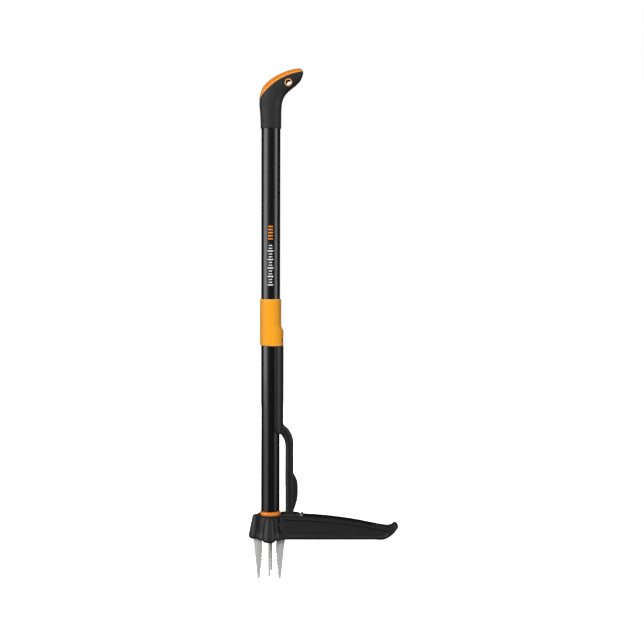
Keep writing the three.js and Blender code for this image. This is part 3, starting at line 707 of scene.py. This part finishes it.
def eject_sleeve():
    """The sliding barrel, with the swelling and the screw well on its pedal side."""
    chamfer = 2.0
    inside = 18.5
    barrel = turned("slide_sleeve", [
        (inside, SLEEVE_BOTTOM), (SLEEVE_R - 1.5, SLEEVE_BOTTOM), (SLEEVE_R, SLEEVE_BOTTOM + chamfer),
        (SLEEVE_R, SLEEVE_TOP - chamfer), (SLEEVE_R - 1.5, SLEEVE_TOP), (inside, SLEEVE_TOP)], 128)
    fused(barrel, swell_form("swell", SLEEVE_BOTTOM, 434, 4.6, SLEEVE_R, 15))
    melted(barrel, 0.6, 5)
    cut(barrel, rod("bore", SLEEVE_BORE, 300, 600, segments=128),
        screw_well())
    melted(barrel, 0.5, 2, 0.12)
    return placed(barrel, ["eject_sleeve"], "ejector", AMBER)


def arm_side():
    """The arm's side view: straight beside the tube, out through the bend and down to its foot."""
    outer = smooth_line([(ARM_OUTER, 190), (46, 202), (42.2, 212.8), (36, 222.4), (26, 231.6)], 8)
    inner = smooth_line([(19, 212.8), (25.6, 204), (29.6, 194.6), (ARM_INNER, 184)], 8)
    return [(15, 273), (15, 214.5), *inner, (ARM_INNER, ARM_BOTTOM), (ARM_OUTER, ARM_BOTTOM), *outer,
            (26, 273)]


def arm_fin():
    """The half-moon fin on the bar's outer edge, seen from the side."""
    edge = smooth_line([(ARM_OUTER, 50), (54.9, 76), (56.3, 98), (54.5, 116), (ARM_OUTER, 131)], 10)
    return [(ARM_OUTER - 6, 52), *edge, (ARM_OUTER - 6, 131)]


def inset(outline, depth):
    """The closed outline moved inwards by the depth."""
    made = []
    turning = sum(outline[i - 1][0] * q[1] - q[0] * outline[i - 1][1] for i, q in enumerate(outline))
    inward = 1 if turning > 0 else -1
    count = len(outline)
    for i, point in enumerate(outline):
        along = Vector(outline[(i + 1) % count]) - Vector(outline[i - 1])
        side = Vector((-along.y, along.x)).normalized() * depth * inward
        made.append((point[0] + side.x, point[1] + side.y))
    return made


def rounded_bar():
    """The arm's bar, built up in steps towards a half-round front and back."""
    side = arm_side()
    steps = [(0.0, 1.6), (0.6, 3.6), (1.7, 5.2), (3.2, 6.3), (5.2, ARM_HALF)]
    layers = [prism(f"bar_{k}", inset(side, depth), -half, half)
              for k, (depth, half) in enumerate(steps)]
    return layers


def ejector_arm():
    """The shroud round the tube, the bar that bends out of it, and its fin, in one moulding."""
    top = SLEEVE_BOTTOM - 0.3
    shroud = turned("ejector_bar", [(0, 205), (21, 205), (21, top), (0, top)], 128, "Z", (5, 0))
    trim = [(10.3, 226), (10.9, 223), (13.2, 219), (19, 212.9), (60, 200), (60, 500), (10.3, 500)]
    common(shroud, prism("shroud_outline", trim, -FAR, FAR))
    fused(shroud, *rounded_bar(), block("tab", 20, 22.6, -6, 6, top - 6, 416))
    melted(shroud, 0.7, 7, 0.25)
    fused(shroud, prism("fin", arm_fin(), -3, 3))
    cut(shroud, rod("tube_room", SLEEVE_BORE, -20, 600, segments=128),
        block("claw_groove", 20, 33, -2.3, 2.3, ARM_BOTTOM - 9, 105),
        block("tang_slot", 32.6, 44.4, -2.8, 2.8, ARM_BOTTOM - 9, 30.3),
        rod("pin_hole", 2.3, -FAR, FAR, "Y", (38.5, 21)),
        rod("screw_hole", 1.8, 10, FAR, "X", (0, SCREW_Z)))
    melted(shroud, 0.6, 2)
    return placed(shroud, ["ejector_arm"], "ejector", ARM_BLACK)


# ---------------------------------------------------------------- head and pedal
DECK = [(240, 23.6), (178, 35), (120, 41.7), (66, 44.4), (PEDAL_START, 43.4)]


def pedal_side():
    """The pedal seen from the side: sole, nose, upturned lip and deck."""
    sole = [(PEDAL_START, PEDAL_BOTTOM), (60, PEDAL_BOTTOM), (214, -0.1)]
    nose = smooth_line([(214, -0.1), (226, -0.7), (236, 1.6), (249.4, 10.6), (260, 21.8), (260.6, 26.4),
                        (256.6, 31)], 8)
    lip = smooth_line([(256.6, 31), (252.8, 30.4), (247.6, 26), (240, 23.6)], 6)
    return [*sole, *nose[1:], *lip[1:], *smooth_line(DECK, 10)[1:]]


def pedal_half(x):
    """Half the pedal's width at a distance from the shaft."""
    share = max(0.0, min(1.0, (x - 60) / (246 - 60)))
    return PEDAL_HEAD_HALF + (PEDAL_TIP_HALF - PEDAL_HEAD_HALF) * share


def pedal_plan():
    """The pedal seen from above, with a round tip."""
    tip = [(min(x, 264), y) for x, y in arc(246, 0, PEDAL_TIP_HALF, -72, 72, 18)]
    half = PEDAL_HEAD_HALF
    return [(PEDAL_START, -half), (60, -half), (246, -PEDAL_TIP_HALF), *tip,
            (246, PEDAL_TIP_HALF), (60, half), (PEDAL_START, half)]


def deck_slope(name):
    """A wedge that slopes the deck's front edge down from the flat tread to the flank."""
    rings = []
    for x, z in smooth_line(DECK, 10):
        fade = max(0.0, min(1.0, (243 - x) / 20)) * max(0.0, min(1.0, (x - 28) / 24))
        half = pedal_half(x)
        inner = half - 7.2 * fade
        rings.append([(x, -inner, z + 0.2), (x, -inner, z + 9), (x, -half - 9, z + 9),
                      (x, -half - 9, z - 4.6 * fade * 16.2 / 7.2 + 0.2),
                      (x, -half, z - 4.6 * fade + 0.2)])
    return stacked(name, rings)


def flank_panel(name, grow, depth):
    """The hollow in the front flank, inside a lip that follows the pedal's outline."""
    low = 6 - grow
    end = smooth_line([(224 + grow, low), (234 + grow, 8.2 - grow), (240 + grow, 13.2),
                       (234 + grow, 18.2 + grow)], 8)
    top = smooth_line([(234 + grow, 18.2 + grow), (178, 28.2 + grow), (120, 35 + grow),
                       (66, 37.8 + grow), (36, 37.6 + grow)], 8)
    outline = eased([(32 - grow, low), *end, *top[1:], (32 - grow, 36 + grow)], 1.0, 2)
    taper = math.atan2(PEDAL_HEAD_HALF - PEDAL_TIP_HALF, 246 - 60)
    tool = prism(name, outline, -FAR, -(PEDAL_HEAD_HALF - depth))
    shift = Matrix.Translation(Vector((60, -PEDAL_HEAD_HALF, 0)) * MM)
    turn = shift @ Matrix.Rotation(taper, 4, "Z") @ shift.inverted()
    tool.data.transform(turn)
    return tool


def lobe(name, centres, heights, turns):
    """One claw's housing: a leaning, rounded cone. Both pairs are given bottom first."""
    bottom_centre, top_centre = centres
    z0, z1 = heights
    profile = eased([(0, z0), (LOBE_R - 2.4, z0), (LOBE_R, z0 + 6), (8.9, z1), (0, z1)], 2.6, 6, False)
    cone = turned(name, profile, 96)
    lean = (top_centre - bottom_centre) / (z1 - z0)
    for v in cone.data.vertices:
        v.co.x += (bottom_centre + lean * (v.co.z / MM - z0)) * MM
    return quarter_turned(cone, turns)


def crease(name, lobe_shape, quarter, side):
    """A leaning groove where a lobe meets the head's body, on one side of the lobe."""
    (c0, c1), (z0, z1) = lobe_shape
    rings = []
    for k in range(13):
        t = k / 12
        body_r = HEAD_LOW_R + (HEAD_HIGH_R - HEAD_LOW_R) * t
        lobe_r = LOBE_R + (8.9 - LOBE_R) * t
        c = c0 + (c1 - c0) * t
        turn = math.acos((body_r ** 2 + c ** 2 - lobe_r ** 2) / (2 * body_r * c))
        angle = math.radians(90 * quarter) + side * turn
        x, y = (body_r + 0.3) * math.cos(angle), (body_r + 0.3) * math.sin(angle)
        z = z0 - 2 + (z1 - z0 + 2) * t
        rings.append([(x + 1.25 * math.cos(a), y + 1.25 * math.sin(a), z)
                      for a in (2 * math.pi * i / 12 for i in range(12))])
    return stacked(name, rings)


def neck_groove():
    """The shadow line under the raised rim, over the front and back lobes."""
    ring = turned("neck_groove", [(24.3, 41.2), (40, 41.2), (40, 43.0), (24.3, 43.6)], 96)
    return common(ring, block("neck_share", -15.5, 14.5, -FAR, FAR, 0, FAR))


def roof_height(x):
    """The underside cells' roof, a wall's thickness under the deck."""
    roof = [(60, 38), (120, 35), (178, 27.5), (236, 14.5)]
    for (xa, za), (xb, zb) in zip(roof, roof[1:]):
        if x <= xb:
            return za + (zb - za) * (x - xa) / (xb - xa)
    return roof[-1][1]


def under_cells():
    """The five hollows in the pedal's underside, with a rib between each two."""
    cells = []
    for k, x0 in enumerate((70, 103, 136, 169, 202)):
        x1 = min(x0 + 29, 229)
        half = PEDAL_HEAD_HALF - 6.5 - (x1 - 60) * 0.027
        side = [(x0, -FAR), (x1, -FAR), (x1, roof_height(x1)), (x0, roof_height(x0))]
        cells.append(prism(f"cell_{k}", side, -half, half))
    return cells


def tread_top(grow=0):
    """The line of the tread's top, drawn out a little at both ends."""
    return smooth_line([(68 - grow, 44.6), (120, 42), (208 + grow, 29.9)], 10)


def tread_outline(grow):
    """The tread seen from the side; grow makes the room it lies in."""
    top = tread_top(grow)
    under = [(x, z - 2.6 - grow) for x, z in reversed(top)]
    return [*[(x, z + 3 * grow) for x, z in top], *under]


def ear_slot(name):
    """Room for one ear of the shaft's foot, in which it leans."""
    side = [(-6, FAR), (-6, 36), (10, 20), (19, 20), (24.4, 24), (24.4, 31), (19.5, 40), (19.5, FAR)]
    return prism(name, side, -14.6, -10)


def head_hollows():
    """Everything that is cut from the head and pedal once their skin is one."""
    slot = 2.3
    pin = 2.3
    front = [flank_panel("panel_inner", 0.0, 2.7), flank_panel("panel_outer", 1.3, 1.3),
             ear_slot("ear")]
    back = [mirrored(tool, tool.name + "_back") for tool in front]
    reaches = ((34.6, 1), (31.6, 10.5), (29.6, 20.5), (24, 24.5))
    slots = [quarter_turned(block("slot", 7, reach, -slot, slot, -FAR, top), k)
             for k in range(4) for reach, top in reaches]
    screws = [quarter_turned(rod("screw", 1.8, -10, 14, at=(15.9, 15.9)), k) for k in range(4)]
    return [
        *front, *back, *under_cells(), *slots, *screws,
        prism("tread_room", tread_outline(0.3), -11.8, 11.8),
        rod("cavity", 19.6, 3, FAR, segments=96),
        rod("collar_seat", 23.8, 43.4, FAR, segments=96),
        rod("plate_room", 27, -FAR, 3.3, segments=96),
        block("fork_bay", 8.2, 30, -ARM_HALF - 0.8, ARM_HALF + 0.8, -FAR, 13),
        prism("pocket", eased([(POCKET_LEFT - 6, -POCKET_HALF), (POCKET_RIGHT, -POCKET_HALF),
                               (POCKET_RIGHT, POCKET_HALF), (POCKET_LEFT - 6, POCKET_HALF)], 5, 6),
              -FAR, FAR, "Z"),
        rod("hinge_hole", 3.3, -16.3, 16.3, "Y", (19, 26.4)),
        rod("pin_hole_right", pin, -FAR, FAR, "Y", (PIVOT_R, PIVOT_Z)),
        rod("pin_hole_left", pin, -FAR, FAR, "Y", (-PIVOT_R, PIVOT_Z)),
        rod("pin_hole_back", pin, -9.3, 9.3, "X", (PIVOT_R, PIVOT_Z)),
        rod("pin_hole_front", pin, -9.3, 9.3, "X", (-PIVOT_R, PIVOT_Z)),
        rod("guide_hole", 3.4, -10.3, 10.3, "Y", (64.2, 46)),
    ]


SIDE_LOBE = ((31.0, 27.0), (-4.7, 43.4))
CROSS_LOBE = ((24.1, 17.6), (-6.6, 40.8))


def sole_slope(name):
    """A wedge that turns the pedal's lower front edge under."""
    rings = []
    for x in (26, 40, 60, 120, 180, 216, 236):
        half = pedal_half(x)
        low = PEDAL_BOTTOM + max(0, (x - 60) / 154) * 1.4
        fade = max(0.0, min(1.0, (x - 30) / 16))
        rings.append([(x, -half + 3.6 * fade, low - 0.1), (x, -half, low + 5.2 * fade - 0.1),
                      (x, -half - 9, low + 5.2 * fade - 0.1), (x, -half - 9, low - 20),
                      (x, -half + 3.6 * fade, low - 20)])
    return stacked(name, rings)


def pedal_form():
    """The pedal's bar, with its deck and its sole sloping down to the flanks."""
    pedal = prism("pedal_form", pedal_side(), -FAR, FAR)
    common(pedal, prism("pedal_plan", pedal_plan(), -FAR, FAR, "Z"))
    slopes = [deck_slope("slope"), sole_slope("sole_slope")]
    return cut(pedal, *slopes, *[mirrored(tool, tool.name + "_back") for tool in slopes])


def pedal_housing():
    """The four-lobed head and the pedal in one skin, hollowed for what moves in it."""
    body = turned("pedal_head", eased([
        (0, HEAD_BOTTOM), (28.6, HEAD_BOTTOM), (29.6, -2), (29.4, 3), (HEAD_LOW_R, 13),
        (HEAD_HIGH_R, 45), (0, 45)], 2, 4, False), 128)
    neck = turned("neck", [(20, 42.5), (26.4, 43.2), (26.4, 46.1), (20, 46.1)], 128)
    r = POCKET_HALF + RIM_WIDTH
    rim = [(22, -r), *arc(48.5, 0, r, -90, 90, 24), (22, r)]
    fused(body, pedal_form(), neck, prism("rim", rim, 30, RIM_TOP, "Z"),
          lobe("left_lobe", *SIDE_LOBE, 2), lobe("back_lobe", *CROSS_LOBE, 1),
          lobe("front_lobe", *CROSS_LOBE, 3))
    grooves = [crease(f"crease_{k}_{side}", SIDE_LOBE if k == 2 else CROSS_LOBE, k, side)
               for k in (1, 2, 3) for side in (-1, 1)]
    cut(body, neck_groove(), *grooves)
    melted(body, 0.75, 6, 0.3)
    cut(body, *head_hollows())
    melted(body, 0.62, 3, 0.1)
    return placed(body, ["pedal_housing"], "head", MOULDED)


def tread_pad():
    """The soft strip on the pedal, with fourteen cross grooves."""
    pad = prism("tread_strip", tread_outline(0), -11.5, 11.5)
    top = tread_top()
    grooves = []
    for k in range(14):
        x = 77 + 9.4 * k
        z = next(za + (zb - za) * (x - xa) / (xb - xa)
                 for (xa, za), (xb, zb) in zip(top, top[1:]) if x <= xb)
        grooves.append(block(f"groove_{k}", x - 1, x + 1, -9.5, 9.5, z - 0.9, z + 9))
    cut(pad, *grooves)
    bevelled(pad, 0.3, 2)
    return placed(pad, ["tread_pad"], "head", TREAD_BLACK, 40)


# ---------------------------------------------------------------- claws
def claw_outline(tip, shift):
    """A claw in its own plane: eye, tail and a tapering blade with a toothed inner edge."""
    lift = tip + 89
    first, pitch = -38.5 + lift, 7.8
    bend = first - 3.5

    def inner(z):
        return 12.8 + shift - 0.03 * z + 0.0028 * max(0.0, bend - z) ** 2

    saw = []
    for k in range(5):
        z = first - pitch * k
        notch = [(inner(z) + 2.2, z), (inner(z) + 1.5, z - 1.6)]
        tooth = [(inner(z - 3.4) + 0.1, z - 3.4), (inner(z - 4.7), z - 4.7)]
        saw += [*notch, *tooth]
    tail = [(PIVOT_R - 9.5, PIVOT_Z - 2.5), (PIVOT_R - 4.6, PIVOT_Z - 2.5)]
    blade = [(14.6 + shift, -4), (13.8 + shift, first + 4), *saw]
    point = [(19.6 + shift, tip + 1.6), (20.4 + shift, tip), (22.6 + shift, tip),
             (23.8 + shift, tip + 1.8)]
    eye = arc(PIVOT_R, PIVOT_Z, 5, -20, 110, 16)
    return [*tail, *blade, *eased(point, 0.5, 2, False), (32.4 + shift, -7.6), *eye,
            (PIVOT_R - 4.6, PIVOT_Z + 2.5), (PIVOT_R - 9.5, PIVOT_Z + 2.5)]


def claw(side, turns, tip, shift=0.0):
    """One sheet-steel claw, turned by quarters to its side of the head."""
    blade = prism(f"steel_claw_{side}", claw_outline(tip, shift), -1.5, 1.5)
    cut(blade, rod("eye", 2.3, -9, 9, "Y", (PIVOT_R, PIVOT_Z), 32))
    bevelled(blade, 0.35, 3, 25)
    quarter_turned(blade, turns)
    return placed(blade, [f"claw_{side}"], f"{side}_claw", STAINLESS, 30)


# ---------------------------------------------------------------- small parts from their CAD shapes
def refined(node, name, body, material, width=0.25, shift=(0, 0, 0), half_length=None):
    """A copy of a small CAD part with its edges broken and its round faces shaded smooth.

    A half length draws both ends of a pin that lies along Y in to that distance."""
    work = bmesh.new()
    work.from_mesh(frame["nodes"][node].data)
    bmesh.ops.remove_doubles(work, verts=work.verts, dist=1e-6)
    bmesh.ops.dissolve_limit(work, angle_limit=math.radians(2), verts=work.verts, edges=work.edges)
    bmesh.ops.translate(work, verts=work.verts, vec=Vector(shift) * MM)
    if half_length is not None:
        for v in work.verts:
            v.co.y = max(-half_length * MM, min(half_length * MM, v.co.y))
    mesh = bpy.data.meshes.new(name)
    work.to_mesh(mesh)
    work.free()
    piece = bpy.data.objects.new(name, mesh)
    bpy.context.scene.collection.objects.link(piece)
    bevelled(piece, width, 2, 40)
    return placed(piece, [node], body, material, 40)


def small_parts():
    """The fixings, bearings and hidden parts, which keep their CAD shapes."""
    for k in range(1, 5):
        refined(f"base_screw_{k}", f"plate_screw_{k}", "head", ZINC)
    for side in ("left", "right"):
        refined(f"claw_pin_{side}", f"pivot_pin_{side}", "head", ZINC, half_length=9)
    for side in ("front", "back"):
        refined(f"claw_pin_{side}", f"pivot_pin_{side}", "head", ZINC)
    refined("tilt_hinge_pin", "hinge_pin", "head", ZINC, 0.4, half_length=16)
    refined("guide_pin", "guide_peg", "head", ZINC, 0.6)
    refined("base_plate", "sole_plate", "head", MOULDED, 0.4)
    refined("lift_spider", "lift_cross", "lifter", ACETAL, 0.3)
    refined("lift_pin", "lift_peg", "lifter", ZINC)
    refined("shaft_foot", "foot_plug", "shaft", MOULDED, 0.4)
    refined("foot_rivet", "tube_rivet", "shaft", ZINC)
    refined("handle_core", "core_plug", "shaft", MOULDED, 0.5)
    refined("grip_screw", "hook_screw", "shaft", ZINC)
    # Its dark brown finish is painted shade for the well it sits in.
    refined("arm_screw", "sleeve_screw", "ejector", DARK_SCREW, shift=(-0.3, 0, 0))
    refined("glide_bush_lower", "bush_lower", "ejector", ACETAL, 0.2)
    refined("glide_bush_upper", "bush_upper", "ejector", ACETAL, 0.2)
    refined("ejector_fork", "push_fork", "ejector", MOULDED, 0.4)
    refined("fork_pin", "fork_peg", "ejector", ZINC)


# ---------------------------------------------------------------- stage, light and camera
def floor():
    """A pale floor that the object's own light and reflections don't see."""
    size = 9.0
    mesh = bpy.data.meshes.new("floor")
    corners = [(-size, -size), (size, -size), (size, size), (-size, size)]
    mesh.from_pydata([(x, y, FLOOR_Z * MM) for x, y in corners], [], [(0, 1, 2, 3)])
    plane = bpy.data.objects.new("floor", mesh)
    bpy.context.scene.collection.objects.link(plane)
    f = Finish("floor_pale", (0.9, 0.9, 0.9), 0.9)
    f.colour(f.mixed(f.noise(300, 2), (0.88, 0.88, 0.88), (0.92, 0.92, 0.92)))
    f.shader.inputs["Emission Color"].default_value = (1, 1, 1, 1)
    f.shader.inputs["Emission Strength"].default_value = 1.0
    mesh.materials.append(f.material)
    plane.visible_glossy = False
    plane.visible_diffuse = False
    plane.visible_shadow = False


KEY_POWER = 53
LEFT_FILL_POWER = 12
RIGHT_FILL_POWER = 19
TOP_POWER = 4
BACK_POWER = 60
LEFT_POWER = 36
LEFT_LOW_POWER = 3
LEFT_TAIL_POWER = 7
RIGHT_POWER = 23
RIGHT_LOW_POWER = 2


def softbox(name, place, aim, width, height, power, rays):
    """A large soft light that serves either the diffuse or the glossy part of the finishes."""
    light = bpy.data.lights.new(name, "AREA")
    light.shape = "RECTANGLE"
    light.size = width
    light.size_y = height
    light.energy = power
    lamp = bpy.data.objects.new(name, light)
    bpy.context.scene.collection.objects.link(lamp)
    lamp.location = place
    lamp.rotation_euler = (Vector(aim) - Vector(place)).to_track_quat("-Z", "Y").to_euler()
    lamp.visible_glossy = rays == "glossy"
    lamp.visible_diffuse = rays == "diffuse"
    lamp.visible_camera = False


def around(degrees, distance, height):
    """A place at this angle from the camera's side, positive towards the pedal's tip."""
    a = math.radians(degrees)
    return (distance * math.sin(a), -distance * math.cos(a), height)


def lights():
    """A broad front light and weak fills for the colours, tall side windows for the gloss,
    and one light behind for the back."""
    softbox("key", around(-12, 2.3, 1.1), (0.02, 0, 0.4), 1.7, 1.5, KEY_POWER, "diffuse")
    softbox("left_fill", around(-52, 2.3, 0.9), (0.02, 0, 0.4), 1.3, 1.6, LEFT_FILL_POWER, "diffuse")
    softbox("right_fill", around(46, 2.3, 0.9), (0.02, 0, 0.4), 1.3, 1.6, RIGHT_FILL_POWER, "diffuse")
    softbox("top", (0.05, -0.5, 2.4), (0.05, 0, 0), 1.6, 1.6, TOP_POWER, "diffuse")
    softbox("back", around(180, 2.3, 0.9), (0.02, 0, 0.4), 2.0, 1.7, BACK_POWER, "diffuse")
    softbox("left_window", around(-65, 1.6, 1.25), (0, 0, 1.25), 1.2, 2.5, LEFT_POWER, "glossy")
    softbox("left_low", around(-65, 1.6, -0.45), (0, 0, -0.45), 1.2, 0.9, LEFT_LOW_POWER, "glossy")
    softbox("left_tail", around(-37, 1.6, 0.9), (0, 0, 0.9), 0.55, 3.2, LEFT_TAIL_POWER, "glossy")
    softbox("right_window", around(74, 1.7, 1.25), (0, 0, 1.25), 0.95, 2.5, RIGHT_POWER, "glossy")
    softbox("right_low", around(74, 1.7, -0.45), (0, 0, -0.45), 0.95, 0.9, RIGHT_LOW_POWER, "glossy")


def world():
    """White to the camera, a dim even grey for soft light, and almost black for reflections."""
    made = bpy.data.worlds.new("studio")
    bpy.context.scene.world = made
    made.use_nodes = True
    tree = made.node_tree
    tree.nodes.clear()
    path = tree.nodes.new("ShaderNodeLightPath")
    shades = []
    for strength in (0.035, 0.004, 1.0):
        shade = tree.nodes.new("ShaderNodeBackground")
        shade.inputs["Color"].default_value = (1, 1, 1, 1)
        shade.inputs["Strength"].default_value = strength
        shades.append(shade.outputs["Background"])
    made_so_far = shades[0]
    for ray, shade in (("Is Glossy Ray", shades[1]), ("Is Camera Ray", shades[2])):
        mix = tree.nodes.new("ShaderNodeMixShader")
        tree.links.new(path.outputs[ray], mix.inputs["Fac"])
        tree.links.new(made_so_far, mix.inputs[1])
        tree.links.new(shade, mix.inputs[2])
        made_so_far = mix.outputs["Shader"]
    out = tree.nodes.new("ShaderNodeOutputWorld")
    tree.links.new(made_so_far, out.inputs["Surface"])


def camera():
    """In front and a little above the middle, with a very small roll."""
    aim = Vector((0.10406, 0, 0.44042))
    place = Vector((0.235, -2.36, 0.6145))
    roll = math.radians(0.276)
    width_at_aim = 1.29952
    made = bpy.data.objects.new("camera", bpy.data.cameras.new("camera"))
    bpy.context.scene.collection.objects.link(made)
    look = (aim - place).to_track_quat("-Z", "Y").to_matrix()
    made.location = place
    made.rotation_euler = (look @ Matrix.Rotation(roll, 3, "Z")).to_euler()
    made.data.sensor_width = 36
    made.data.lens = 36 * (aim - place).length / width_at_aim
    bpy.context.scene.camera = made


world()
camera()
lights()
floor()
shaft_tube()
shaft_collar()
handle_grip()
handle_cap()
hanging_eyelet()
eject_sleeve()
ejector_arm()
pedal_housing()
tread_pad()
claw("right", 0, -89.0, -2.2)
claw("left", 2, -89.0, 2.2)
claw("back", 1, -78.0)
claw("front", 3, -78.0)
small_parts()
bpy.context.scene.view_settings.view_transform = "Standard"
